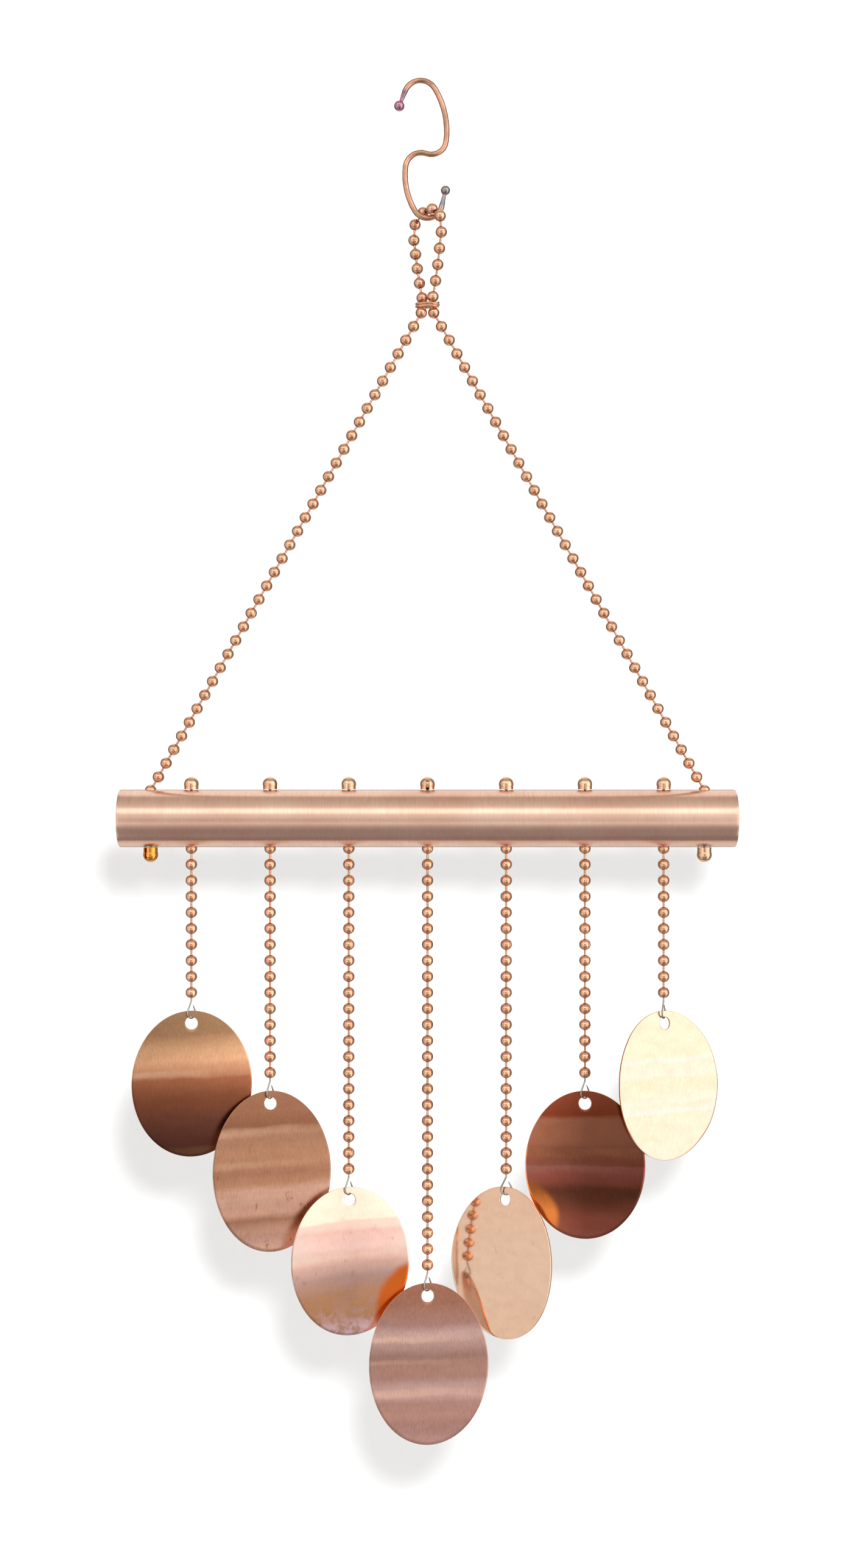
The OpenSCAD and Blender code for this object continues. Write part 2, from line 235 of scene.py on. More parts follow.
def bead_turns():
    """Angles round a bead, with four close together at the seam where its strip was rolled shut."""
    seam = [-3 * SEAM_WIDTH, -SEAM_WIDTH, SEAM_WIDTH, 3 * SEAM_WIDTH]
    rest = np.linspace(3 * SEAM_WIDTH, 2 * math.pi - 3 * SEAM_WIDTH, BEAD_SIDES - 2)[1:-1]
    return seam + list(rest)


def bead_pattern():
    """Points and faces of one bead with its holes up and down, and how near each point is to a hole."""
    profile, turns = bead_profile(), bead_turns()
    points = lathe(profile, turns)
    radius = np.hypot(points[:, 0], points[:, 1])
    angle = np.abs(np.arctan2(points[:, 1], points[:, 0]))
    on_seam = (angle < 2 * SEAM_WIDTH) & (np.linalg.norm(points, axis=1) > BEAD_R - SKIN_TOLERANCE)
    points[on_seam, :2] *= (1 - SEAM_DEPTH / radius[on_seam])[:, None]
    near_hole = np.clip(HOLE_DARKENING_REACH - radius / (BEAD_HOLE_R + BEAD_LIP), 0, 1)
    return points, ring_faces(len(profile), len(turns), closed=True), near_hole


def bead_at(pattern, centre, up, down, spin):
    """A bead's points in place. Its holes face up and down the chain, so a bent chain bends them."""
    axis = unit(up - down)
    points = pattern @ upright(axis, spin).T
    bend = math.acos(min(1.0, float(axis @ up)))
    if bend > STRAIGHT:
        hinge = unit(np.cross(axis, up))
        turn = bend * (points @ axis)[:, None] / BEAD_R
        across = np.cross(hinge, points)
        along = (points @ hinge)[:, None] * hinge
        points = along + (points - along) * np.cos(turn) + across * np.sin(turn)
    return centre + points * MM


def link_at(start, end):
    """Points of a link between two bead centres, with a round head in each."""
    reach = np.linalg.norm(end - start) / MM - 2 * LINK_HEAD_OFFSET
    head = [(LINK_HEAD_R * math.sin(a), -LINK_HEAD_R * math.cos(a)) for a in LINK_HEAD_ANGLES]
    flare = math.asin(LINK_R / LINK_HEAD_R)
    neck = LINK_HEAD_R * math.cos(flare)
    half = head + [(LINK_R, neck), (LINK_R, neck + LINK_NECK), (LINK_WAIST_R, reach * LINK_WAIST_PLACE)]
    profile = half + [(r, reach - z) for r, z in half[::-1]]
    turns = np.linspace(0, 2 * math.pi, LINK_SIDES, endpoint=False)
    points = lathe(profile, turns) + [0, 0, LINK_HEAD_OFFSET]
    return start + (points @ upright(unit(end - start), 0).T) * MM, len(profile)


def chain_layout():
    """Bead centres by node, each bead's two directions along the chain, and link ends by node."""
    beads, links = {}, {}
    for node in slots:
        if node.endswith(("_beads", "_links", "_neck")):
            for solid in solids(node):
                group = beads if thickness(solid) > BEAD_R * MM else links
                group.setdefault(node, []).append(middle(solid))
    centres = np.array([centre for group in beads.values() for centre in group])
    ways = [[] for _ in centres]
    link_ends = {}
    for node, group in links.items():
        for link in group:
            a, b = np.argsort(np.linalg.norm(centres - link, axis=1))[:2]
            ways[a].append(unit(centres[b] - centres[a]))
            ways[b].append(unit(centres[a] - centres[b]))
            link_ends.setdefault(node, []).append((centres[a], centres[b]))
    for pair in ways:
        if len(pair) == 1:
            pair.append(-pair[0])
    return beads, ways, link_ends


def build_chains(bead_material, link_material):
    """Every bead and link. A neck's beads and links are one piece, as in the CAD."""
    beads, ways, link_ends = chain_layout()
    pattern, bead_faces, near_hole = bead_pattern()
    random = np.random.default_rng(7)
    index = 0
    neck_beads = {}
    for node, centres in beads.items():
        blocks = []
        for centre in centres:
            blocks.append(bead_at(pattern, centre, *ways[index], random.uniform(0, 2 * math.pi)))
            index += 1
        points, faces = join(blocks, bead_faces)
        marks = np.tile(near_hole, len(blocks))
        if node in link_ends:
            neck_beads[node] = (points, faces, marks)
        else:
            add_piece(node, points, faces, bead_material, {"near_hole": marks})
    for node, ends in link_ends.items():
        blocks = []
        for start, end in ends:
            block, rings = link_at(start, end)
            blocks.append(block)
        points, faces = join(blocks, ring_faces(rings, LINK_SIDES, closed=False))
        if node in neck_beads:
            bead_points, bead_quads, marks = neck_beads[node]
            offset = len(bead_points)
            faces = bead_quads + [tuple(corner + offset for corner in face) for face in faces]
            points = np.vstack([bead_points, points])
            marks = np.concatenate([marks, np.zeros(len(points) - offset)])
            add_piece(node, points, faces, bead_material, {"near_hole": marks})
        else:
            add_piece(node, points, faces, link_material)


# ---- Wire and sheet-metal fittings ----

# The width of one hand-made wave in a wire
WAVE_WIDTH = 2.5
# One in this many points measures how far smoothing pulled the surface in
LOSS_STEP = 7


def smooth_copy(node, material, voxel, rounds, waves=0.0):
    """A fine, rounded copy of a CAD node at the CAD surface, with hand-made waves of a given height."""
    source = frame["nodes"][node]
    scratch = bpy.data.objects.new("scratch", source.data.copy())
    bpy.context.scene.collection.objects.link(scratch)
    remesh = scratch.modifiers.new("remesh", "REMESH")
    remesh.mode = "VOXEL"
    remesh.voxel_size = voxel * MM
    soften = scratch.modifiers.new("soften", "SMOOTH")
    soften.iterations = rounds
    evaluated = scratch.evaluated_get(bpy.context.evaluated_depsgraph_get())
    mesh = bpy.data.meshes.new_from_object(evaluated)
    bpy.data.objects.remove(scratch)
    points = np.array([v.co for v in mesh.vertices])
    normals = np.array([v.normal for v in mesh.vertices])
    faces = [tuple(face.vertices) for face in mesh.polygons]
    bpy.data.meshes.remove(mesh)
    # Smoothing pulls a thin wire in, so its surface is set back out by what it lost
    tree = BVHTree.FromPolygons(*[part.tolist() for part in node_mesh(node)])
    lost = []
    for point, normal in zip(points[::LOSS_STEP], normals[::LOSS_STEP]):
        near = tree.find_nearest(Vector(point))[0]
        lost.append((near - Vector(point)).dot(Vector(normal)))
    points += normals * float(np.mean(lost))
    if waves:
        height = np.array([noise.noise(Vector(point) / (WAVE_WIDTH * MM)) for point in points])
        points += normals * (height * waves * MM)[:, None]
    return add_piece(node, points, faces, material)


HOOK_WIRE_R = 0.8
# What stands out farther than this to the front or back of the flat hook belongs to its balls
BALL_DEPTH = 1.4 * HOOK_WIRE_R
HEAT_REACH = 7


def hook_balls():
    """Centres of the upper and the lower ball of the S-hook."""
    points, _ = node_mesh("s_hook")
    proud = points[np.abs(points[:, 1]) > BALL_DEPTH * MM]
    split = middle(points)[2]
    return [proud[proud[:, 2] > split].mean(axis=0), proud[proud[:, 2] < split].mean(axis=0)]


def build_hook(material):
    """The S-hook, with how near each point is to the upper and the lower ball."""
    piece = smooth_copy("s_hook", material, voxel=0.13, rounds=10, waves=0.03)
    points = np.array([v.co for v in piece.data.vertices])
    for name, centre in zip(("heat_upper", "heat_lower"), hook_balls()):
        near = 1 - np.linalg.norm(points - centre, axis=1) / (HEAT_REACH * MM)
        attribute = piece.data.attributes.new(name, "FLOAT", "POINT")
        attribute.data.foreach_set("value", np.clip(near, 0, 1).astype(np.float32))


# ---- Cross tube ----

TUBE_SIDES = 144
TUBE_WALL = 1.02
TUBE_ROLL = 0.22
# The rolled ends outside and inside: (share of the roll, distance from the end)
TUBE_END_OUTSIDE = [(1, 0), (0.45, 0.08), (0.15, 0.3), (0, 0.8)]
TUBE_END_INSIDE = [(1, 0.12), (0, 0.9)]
# Rows of points between the ends, and how far from the ends they start
TUBE_ROWS = 84
TUBE_ROWS_START = 2
BORE_ROWS = 22
BORE_ROWS_START = 4
TUBE_SHARP_ANGLE = math.radians(35)
TUBE_HOLE_R = 1.75
HOLE_FLARE = 0.16
HOLE_MOUTH_DEPTH = 0.1
HOLE_SIDES = 48
CUTTER_OVERSHOOT = 2


def tube_profile(length, radius):
    """Closed outline of the tube's wall, with ends that a pipe cutter rolled in a little."""
    half = length / 2
    inner_r = radius - TUBE_WALL
    outside = [(radius - share * TUBE_ROLL, inset - half) for share, inset in TUBE_END_OUTSIDE]
    inside = [(inner_r - share * TUBE_ROLL, half - inset) for share, inset in TUBE_END_INSIDE]
    skin_end, bore_end = half - TUBE_ROWS_START, half - BORE_ROWS_START
    skin = [(radius, x) for x in np.linspace(-skin_end, skin_end, TUBE_ROWS)]
    bore = [(inner_r, x) for x in np.linspace(bore_end, -bore_end, BORE_ROWS)]
    return outside + skin + mirrored(outside) + inside + bore + mirrored(inside)


def hole_cutters(centres, tube_centre, radius):
    """A cutter for each cross hole, flared where it leaves the tube."""
    mouth_r = TUBE_HOLE_R + HOLE_FLARE
    mouth_z = radius - HOLE_MOUTH_DEPTH
    lower = [(mouth_r, -radius - CUTTER_OVERSHOOT), (mouth_r, -mouth_z), (TUBE_HOLE_R, HOLE_FLARE - mouth_z)]
    profile = lower + mirrored(lower)
    turns = np.linspace(0, 2 * math.pi, HOLE_SIDES, endpoint=False)
    pattern = lathe(profile, turns) * MM
    blocks = [pattern + [x, tube_centre[1], tube_centre[2]] for x in centres]
    return join(blocks, ring_faces(len(profile), len(turns), closed=False))


def linked_object(name, points, faces):
    mesh = bpy.data.meshes.new(name)
    mesh.from_pydata(points.tolist(), [], faces)
    obj = bpy.data.objects.new(name, mesh)
    bpy.context.scene.collection.objects.link(obj)
    return obj


def build_tube(material):
    """The tube, turned as a blank and cut through by its cross holes."""
    low, high = (np.array(corner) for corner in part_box("cross_tube"))
    centre = (low + high) / 2
    radius = (high[2] - low[2]) / 2 / MM
    profile = tube_profile((high[0] - low[0]) / MM, radius)
    turns = np.linspace(0, 2 * math.pi, TUBE_SIDES, endpoint=False)
    # The lathe turns about Z, and the tube lies along X
    points = lathe(profile, turns)[:, [2, 0, 1]] * MM + centre
    faces = [face[::-1] for face in ring_faces(len(profile), TUBE_SIDES, closed=True)]
    blank = linked_object("tube_blank", points, faces)
    covers = [node for node in slots if node.endswith("_cover")]
    hole_places = [middle(np.array(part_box(node)))[0] for node in covers]
    cutter = linked_object("tube_cutters", *hole_cutters(hole_places, centre, radius))
    cut = blank.modifiers.new("cut", "BOOLEAN")
    cut.object = cutter
    cut.solver = "EXACT"
    evaluated = blank.evaluated_get(bpy.context.evaluated_depsgraph_get())
    result = bpy.data.meshes.new_from_object(evaluated)
    points = np.array([v.co for v in result.vertices])
    faces = [tuple(face.vertices) for face in result.polygons]
    for obj in (blank, cutter):
        bpy.data.objects.remove(obj)
    piece = add_piece("cross_tube", points, faces, material)
    piece.data.set_sharp_from_angle(angle=TUBE_SHARP_ANGLE)


# ---- Discs ----

DISC_T = 0.6
DISC_HOLE_R = 1.7
DISC_EDGE = 0.13
DISC_SIDES = 240
DISC_ROWS = 40
# A sheet's rounded edge from front to back: (how far out, depth), as shares of DISC_EDGE and half DISC_T
EDGE_STEPS = [(0.7, 0.88), (1, 0.6), (1, -0.6), (0.7, -0.88)]
# Hand-worked dents: their width and height on the sheet, and how deep they are
DENT_WIDTH = 14
DENT_HEIGHT = 9
DENT_DEPTH = 0.05
BOW_DEGREE = 4


def disc_axes(n):
    """A disc's hanging point and its right, front and up directions."""
    swing = joints[f"disc_{n}_swing"]
    right = np.array(swing["axis"], float)
    up = np.array([0.0, 0.0, 1.0])
    return np.array(swing["pos_m"]), np.stack([right, np.cross(right, up), up])


def disc_sheet(n):
    """A disc's origin, axes, half width, half height, middle height and bow, fitted to its CAD node."""
    origin, axes = disc_axes(n)
    points, _ = node_mesh(f"chime_{n}_disc")
    local = (points - origin) @ axes.T / MM
    bow = np.polynomial.Polynomial.fit(local[:, 2], local[:, 1], BOW_DEGREE)
    lean = math.atan(bow.deriv()(middle(local)[2]))
    cos, sin = math.cos(lean), math.sin(lean)
    axes = np.array([[1, 0, 0], [0, cos, -sin], [0, sin, cos]]) @ axes
    local = (points - origin) @ axes.T / MM
    bow = np.polynomial.Polynomial.fit(local[:, 2], local[:, 1], BOW_DEGREE)
    half_w, _, half_h = np.ptp(local, axis=0) / 2
    return origin, axes, half_w, half_h, middle(local)[2], bow


def ripple_height(x, z, ripples, seed):
    """Height of a sheet's rolled ripples and hand-worked dents."""
    height = np.zeros(len(x))
    for wavelength, amplitude, phase, skew in ripples:
        height += amplitude * np.sin(2 * math.pi * (z + skew * x) / wavelength + math.radians(phase))
    dents = [noise.noise(Vector((a / DENT_WIDTH, b / DENT_HEIGHT, seed))) for a, b in zip(x, z)]
    return height + DENT_DEPTH * np.array(dents)


def build_disc(n, material, ripples):
    """A bowed oval sheet with a punched hole and burnished edges, as one closed skin."""
    origin, axes, half_w, half_h, mid_z, bow = disc_sheet(n)
    hole_z = -DISC_HOLE_R
    around = np.linspace(0, 2 * math.pi, DISC_SIDES, endpoint=False)
    rim = np.stack([half_w * np.cos(around), mid_z - hole_z + half_h * np.sin(around)], axis=1)
    reach = np.linalg.norm(rim, axis=1)
    ray = rim / reach[:, None]
    shares = np.linspace(0, 1, DISC_ROWS + 1)
    rows = [(share, 0, 1) for share in shares]
    rows += [(1, bulge, depth) for bulge, depth in EDGE_STEPS]
    rows += [(share, 0, -1) for share in shares[::-1]]
    rows += [(0, bulge, depth) for bulge, depth in EDGE_STEPS[::-1]]
    start, end = DISC_HOLE_R + DISC_EDGE, reach - DISC_EDGE
    blocks, edges, behind = [], [], []
    for share, bulge, depth in rows:
        outward = 1 if share == 1 else -1
        radius = start + (end - start) * share + outward * bulge * DISC_EDGE
        x, z = ray[:, 0] * radius, hole_z + ray[:, 1] * radius
        slope = bow.deriv()(z)
        normal = np.stack([0 * z, np.ones_like(z), -slope], axis=1) / np.sqrt(1 + slope**2)[:, None]
        skin = np.stack([x, bow(z), z], axis=1)
        blocks.append(skin + normal * (depth * DISC_T / 2 + ripple_height(x, z, ripples, n))[:, None])
        edges.append(np.full(DISC_SIDES, float(bulge > 0)))
        behind.append(np.full(DISC_SIDES, float(depth < 0)))
    local = np.vstack(blocks)
    attributes = {
        "down": (mid_z + half_h - local[:, 2]) / (2 * half_h),
        "across": local[:, 0] / half_w,
        "edge": np.concatenate(edges),
        "behind": np.concatenate(behind),
    }
    points = origin + local @ axes * MM
    faces = [face[::-1] for face in ring_faces(len(rows), DISC_SIDES, closed=True)]
    add_piece(f"chime_{n}_disc", points, faces, material, attributes)


# ---- Materials ----

# Where the Mix node keeps its sockets for colours
MIX_SHARE, MIX_FIRST, MIX_SECOND = 0, 6, 7
MIX_RESULT = 2


class Shader:
    """Short calls for building one node tree."""

    def __init__(self, tree):
        self.tree = tree
        tree.nodes.clear()

    def add(self, kind, inputs=None, **settings):
        node = self.tree.nodes.new("ShaderNode" + kind)
        for name, value in settings.items():
            setattr(node, name, value)
        for name, value in (inputs or {}).items():
            self.put(value, node.inputs[name])
        return node

    def put(self, value, socket):
        """Links a socket to another node's output, or sets it to a plain value."""
        if isinstance(value, bpy.types.NodeSocket):
            self.tree.links.new(value, socket)
        else:
            socket.default_value = value

    def math(self, operation, *values):
        node = self.add("Math", operation=operation)
        for value, socket in zip(values, node.inputs):
            self.put(value, socket)
        return node.outputs[0]

    def read(self, name):
        """A mesh attribute."""
        return self.add("Attribute", attribute_name=name).outputs["Fac"]

    def place(self, *scale):
        """Row-frame coordinates in metres, multiplied axis by axis."""
        coordinates = self.add("TexCoord").outputs["Object"]
        return self.add("Mapping", {"Vector": coordinates, "Scale": scale}).outputs["Vector"]

    def noise(self, scale, detail=3.0, roughness=0.55):
        inputs = {"Vector": self.place(*scale), "Scale": 1.0, "Detail": detail, "Roughness": roughness}
        return self.add("TexNoise", inputs).outputs["Fac"]

    def swing(self, value, size):
        """A value from 0 to 1, moved to lie evenly about 0 and made as wide as size."""
        return self.math("MULTIPLY", self.math("SUBTRACT", value, 0.5), size)

    def ramp(self, value, stops):
        """Colour or grey by value. Stops are (place, colour or grey)."""
        node = self.add("ValToRGB", {"Fac": value})
        elements = node.color_ramp.elements
        while len(elements) < len(stops):
            elements.new(0.5)
        for element, (place, colour) in zip(elements, stops):
            element.position = place
            grey = isinstance(colour, (int, float))
            element.color = (colour,) * 3 + (1,) if grey else (*colour, 1)
        return node.outputs["Color"]

    def mix(self, share, first, second, blend="MIX"):
        """The first of two colours, or the second where share is 1."""
        node = self.add("Mix", data_type="RGBA", blend_type=blend)
        self.put(share, node.inputs[MIX_SHARE])
        for colour, socket in ((first, node.inputs[MIX_FIRST]), (second, node.inputs[MIX_SECOND])):
            self.put(colour if isinstance(colour, bpy.types.NodeSocket) else (*colour, 1), socket)
        return node.outputs[MIX_RESULT]

    def either(self, share, first, second):
        """The first of two shaders, or the second where share is 1."""
        node = self.add("MixShader", {"Fac": share})
        self.put(first, node.inputs[1])
        self.put(second, node.inputs[2])
        return node.outputs[0]

    def band(self, value, centre, half, soft):
        """1 within half of a centre, falling to 0 over soft."""
        distance = self.math("ABSOLUTE", self.math("SUBTRACT", value, centre))
        node = self.add(
            "MapRange",
            {"Value": distance, "From Min": half, "From Max": half + soft, "To Min": 1.0, "To Max": 0.0},
            interpolation_type="SMOOTHSTEP",
        )
        return node.outputs["Result"]

    def bump(self, height, strength, distance):
        inputs = {"Height": height, "Strength": strength, "Distance": distance * MM}
        return self.add("Bump", inputs).outputs["Normal"]

    def metal(self, colour, roughness, normal, **more):
        inputs = {"Base Color": colour, "Metallic": 1.0, "Roughness": roughness}
        inputs.update({name.replace("_", " "): value for name, value in more.items()})
        surface = self.add("BsdfPrincipled", inputs)
        self.put(normal, surface.inputs["Normal"])
        self.add("OutputMaterial", {"Surface": surface.outputs[0]})


def new_material(name):
    material = bpy.data.materials.new(name)
    material.use_nodes = True
    return material, Shader(material.node_tree)


# Dark brown for the specks, and for the painted shade round a bead's holes
STAIN_AND_SHADE = (0.25, 0.10, 0.05)
# Depth of a scratch or a rolling mark
MARK_DEPTH = 0.02


def polished_copper(name, bright, dull, roughness, hole_shade_and_grime=False):
    """Handled, polished copper: cloudy patches, fine scratches, and painted shade with some grime round a bead's
    holes.
    """
    material, s = new_material(name)
    clouds = s.ramp(s.noise((600, 600, 600), 4), [(0.35, 0.0), (0.7, 1.0)])
    colour = s.mix(clouds, bright, dull)
    if hole_shade_and_grime:
        # Painted shade, with some grime, darkens the copper round a bead's holes
        colour = s.mix(s.math("MULTIPLY", s.read("near_hole"), 0.75), colour, STAIN_AND_SHADE)
    specks = s.ramp(s.noise((2500, 2500, 2500), 2), [(0.68, 0.0), (0.78, 0.6)])
    colour = s.mix(specks, colour, STAIN_AND_SHADE)
    scratches = s.noise((9000, 9000, 1500), 2)
    rough = s.math("ADD", roughness, s.math("MULTIPLY", clouds, 0.1))
    s.metal(colour, rough, s.bump(scratches, 0.25, MARK_DEPTH))
    return material


# Heat colours by how near the hook's upper and lower ball are: (nearness, colour)
HEAT_TINTS = {
    "heat_upper": [(0.1, (0.60, 0.36, 0.31)), (0.45, (0.30, 0.19, 0.22)), (0.8, (0.56, 0.27, 0.38))],
    "heat_lower": [(0.1, (0.62, 0.40, 0.36)), (0.4, (0.24, 0.23, 0.27)), (0.85, (0.40, 0.33, 0.34))],
}


def heated_copper(name):
    """Drawn wire that turned violet and blue where its ends were melted into balls."""
    material, s = new_material(name)
    clouds = s.noise((500, 500, 300), 4)
    colour = s.mix(s.ramp(clouds, [(0.4, 0.0), (0.65, 1.0)]), (0.76, 0.40, 0.27), (0.50, 0.27, 0.20))
    olive = s.ramp(s.noise((220, 220, 220), 2), [(0.52, 0.0), (0.66, 0.55)])
    colour = s.mix(olive, colour, (0.42, 0.33, 0.14))
    blotch = s.swing(clouds, 0.3)
    for attribute, tints in HEAT_TINTS.items():
        near = s.read(attribute)
        tint = s.ramp(s.math("ADD", near, blotch), tints)
        colour = s.mix(s.ramp(near, [(0.05, 0.0), (0.4, 1.0)]), colour, tint)
    draw_marks = s.noise((4000, 4000, 600), 2)
    rough = s.math("ADD", 0.14, s.math("MULTIPLY", clouds, 0.14))
    s.metal(colour, rough, s.bump(draw_marks, 0.3, 0.03))
    return material


def brushed_copper(name):
    """Satin copper, brushed round the tube, with faint tarnish clouds."""
    material, s = new_material(name)
    strokes = s.noise((3600, 200, 200), 4, 0.7)
    fine = s.noise((9000, 400, 400), 2)
    clouds = s.noise((45, 90, 90), 4)
    colour = s.mix(s.ramp(clouds, [(0.35, 0.0), (0.65, 1.0)]), (0.94, 0.64, 0.50), (0.84, 0.52, 0.40))
    colour = s.mix(s.ramp(strokes, [(0.42, 0.0), (0.72, 0.5)]), colour, (0.68, 0.42, 0.33))
    bright = s.ramp(fine, [(0.52, 0.0), (0.75, 0.45)])
    colour = s.mix(bright, colour, (1.0, 0.80, 0.68))
    spots = s.ramp(s.noise((500, 900, 900), 3), [(0.70, 0.0), (0.80, 0.5)])
    colour = s.mix(spots, colour, (0.50, 0.30, 0.20))
    rough = s.math("ADD", 0.2, s.math("MULTIPLY", strokes, 0.2))
    height = s.math("ADD", strokes, s.math("MULTIPLY", fine, 0.6))
    # Strokes run round the tube, so they spread its highlight along it
    tangent = s.add("Tangent", direction_type="RADIAL", axis="X").outputs[0]
    normal = s.bump(height, 0.3, 0.03)
    s.metal(colour, rough, normal, Anisotropic=0.8, Anisotropic_Rotation=0.25, Tangent=tangent)
    return material


def steel_wire(name):
    """Plain steel wire, cloudy and finely scratched along its length."""
    material, s = new_material(name)
    clouds = s.noise((900, 900, 900), 3)
    colour = s.mix(clouds, (0.50, 0.48, 0.45), (0.28, 0.27, 0.25))
    scratches = s.noise((9000, 9000, 2000), 2)
    s.metal(colour, 0.2, s.bump(scratches, 0.2, MARK_DEPTH))
    return material


# How each disc's sheet looks:
# bands: its colours from top to bottom, as (share of the height, colour), mostly painted reflections of the room
# and partly tarnish
# slant: how far the bands rise from the middle to the right rim, as a share of the height
# rough, spots, grain: its roughness, and how strongly its brown specks and its rolling marks show
# mottled: whether oxide mottles its lower left corner
# sides: by how much its colour is multiplied at the left and the right rim, as painted light and shade
# streaks: painted highlights, level bright bands (place, half width, softness, strength), in shares of the height
# glow: an orange patch painted as the reflection of a neighbouring disc (place across in half widths, place down,
# reach in half widths, colour)
# edge: its rim's colour, if it isn't BURNISHED
# ripples: (wavelength, height, phase, skew)
DISC_LOOKS = {
    1: {
        "bands": [
            (0.0, (0.34, 0.20, 0.11)), (0.16, (0.40, 0.215, 0.115)), (0.27, (0.74, 0.41, 0.23)),
            (0.34, (0.86, 0.46, 0.265)), (0.445, (0.57, 0.25, 0.135)), (0.465, (0.43, 0.155, 0.078)),
            (0.60, (0.24, 0.078, 0.039)), (0.76, (0.150, 0.052, 0.034)), (0.92, (0.105, 0.035, 0.026)),
            (0.95, (0.150, 0.064, 0.036)),
        ],
        "rough": 0.24, "spots": 0.15, "grain": 0.8, "slant": 0.015, "sides": (0.85, 1.22),
        "painted_glints": [(0.425, 0.006, 0.03, 0.3)],
        "ripples": [(15, 0.03, 40, 0.02)],
    },
    2: {
        "bands": [
            (0.0, (0.34, 0.16, 0.095)), (0.21, (0.27, 0.115, 0.065)), (0.25, (0.40, 0.20, 0.12)),
            (0.31, (0.39, 0.194, 0.118)), (0.44, (0.457, 0.228, 0.134)), (0.51, (0.388, 0.182, 0.112)),
            (0.57, (0.472, 0.234, 0.14)), (0.61, (0.590, 0.335, 0.245)), (0.68, (0.60, 0.336, 0.25)),
            (0.75, (0.595, 0.33, 0.238)), (0.79, (0.37, 0.175, 0.107)), (0.85, (0.54, 0.293, 0.203)),
            (0.92, (0.80, 0.46, 0.36)),
        ],
        "rough": 0.3, "spots": 1.0, "grain": 1.0, "slant": 0.01,
        "painted_glints": [(0.245, 0.008, 0.03, 0.2), (0.45, 0.006, 0.03, 0.15), (0.665, 0.008, 0.03, 0.15)],
        "ripples": [(9.5, 0.05, 0, 0.05), (5.3, 0.018, 60, -0.08)],
    },
    3: {
        "bands": [
            (0.0, (0.97, 0.72, 0.58)), (0.22, (0.97, 0.70, 0.56)), (0.235, (0.93, 0.56, 0.48)),
            (0.40, (0.92, 0.60, 0.54)), (0.46, (0.96, 0.62, 0.52)), (0.52, (0.70, 0.43, 0.37)),
            (0.60, (0.47, 0.293, 0.255)), (0.70, (0.44, 0.235, 0.165)), (0.80, (0.51, 0.268, 0.18)),
            (0.88, (0.63, 0.35, 0.29)), (0.97, (0.98, 0.72, 0.80)),
        ],
        "rough": 0.09, "spots": 0.4, "grain": 0.4, "mottled": True, "slant": 0.03, "sides": (1.25, 1.2),
        "neighbour_reflection": (1.18, 0.84, 0.78, (0.64, 0.13, 0.02)),
        "ripples": [(17, 0.04, 10, -0.1)],
    },
    4: {
        "bands": [
            (0.0, (0.376, 0.165, 0.105)), (0.12, (0.40, 0.18, 0.125)), (0.18, (0.47, 0.232, 0.174)),
            (0.25, (0.49, 0.268, 0.235)), (0.30, (0.66, 0.42, 0.39)), (0.38, (0.56, 0.335, 0.30)),
            (0.44, (0.415, 0.235, 0.195)), (0.50, (0.514, 0.277, 0.221)), (0.57, (0.539, 0.296, 0.246)),
            (0.62, (0.656, 0.411, 0.375)), (0.68, (0.77, 0.472, 0.418)), (0.73, (0.60, 0.345, 0.29)),
            (0.80, (0.72, 0.40, 0.327)), (0.86, (0.70, 0.388, 0.323)), (0.95, (0.95, 0.56, 0.49)),
        ],
        "rough": 0.3, "spots": 0.1, "grain": 1.0,
        "painted_glints": [(0.335, 0.005, 0.03, 0.6), (0.48, 0.004, 0.02, 0.2), (0.665, 0.006, 0.03, 0.5)],
        "ripples": [(15.4, 0.06, 150, 0.02), (7.7, 0.02, 30, 0.03)],
    },
    5: {
        "bands": [(0.0, (0.95, 0.62, 0.44)), (0.5, (0.95, 0.65, 0.48)), (1.0, (0.94, 0.62, 0.44))],
        "rough": 0.1, "spots": 0.3, "grain": 0.3,
        "ripples": [(30, 0.03, 0, 0.0)],
    },
    6: {
        "bands": [
            (0.0, (0.24, 0.06, 0.03)), (0.16, (0.19, 0.04, 0.018)), (0.19, (0.27, 0.10, 0.057)),
            (0.38, (0.275, 0.10, 0.058)), (0.43, (0.48, 0.17, 0.092)), (0.495, (0.43, 0.11, 0.07)),
            (0.51, (0.60, 0.17, 0.13)), (0.62, (0.45, 0.12, 0.08)), (0.66, (0.24, 0.075, 0.043)),
            (0.80, (0.18, 0.052, 0.03)), (0.92, (0.29, 0.08, 0.053)), (1.0, (0.38, 0.135, 0.09)),
        ],
        "rough": 0.12, "spots": 0.15, "grain": 0.5, "sides": (2.2, 0.85),
        "neighbour_reflection": (-1.08, 0.86, 0.66, (1.0, 0.29, 0.07)),
        "painted_glints": [(0.51, 0.01, 0.05, 0.18)],
        "ripples": [(22, 0.03, 0, 0.01)],
    },
    7: {
        "bands": [
            (0.0, (0.99, 0.641, 0.479)), (0.30, (0.99, 0.641, 0.479)), (0.33, (1.00, 0.661, 0.587)),
            (0.36, (0.99, 0.641, 0.486)), (0.42, (1.00, 0.655, 0.547)), (0.46, (0.98, 0.628, 0.459)),
            (0.57, (0.99, 0.641, 0.493)), (0.60, (1.00, 0.655, 0.553)), (0.63, (0.99, 0.641, 0.499)),
            (0.67, (1.00, 0.661, 0.594)), (0.70, (0.99, 0.641, 0.486)), (1.0, (0.99, 0.641, 0.513)),
        ],
        "rough": 0.2, "spots": 0.15, "grain": 0.6, "edge": (0.88, 0.48, 0.24),
        "ripples": [(10.5, 0.05, 0, 0.05), (6.1, 0.02, 90, 0.05)],
    },
}
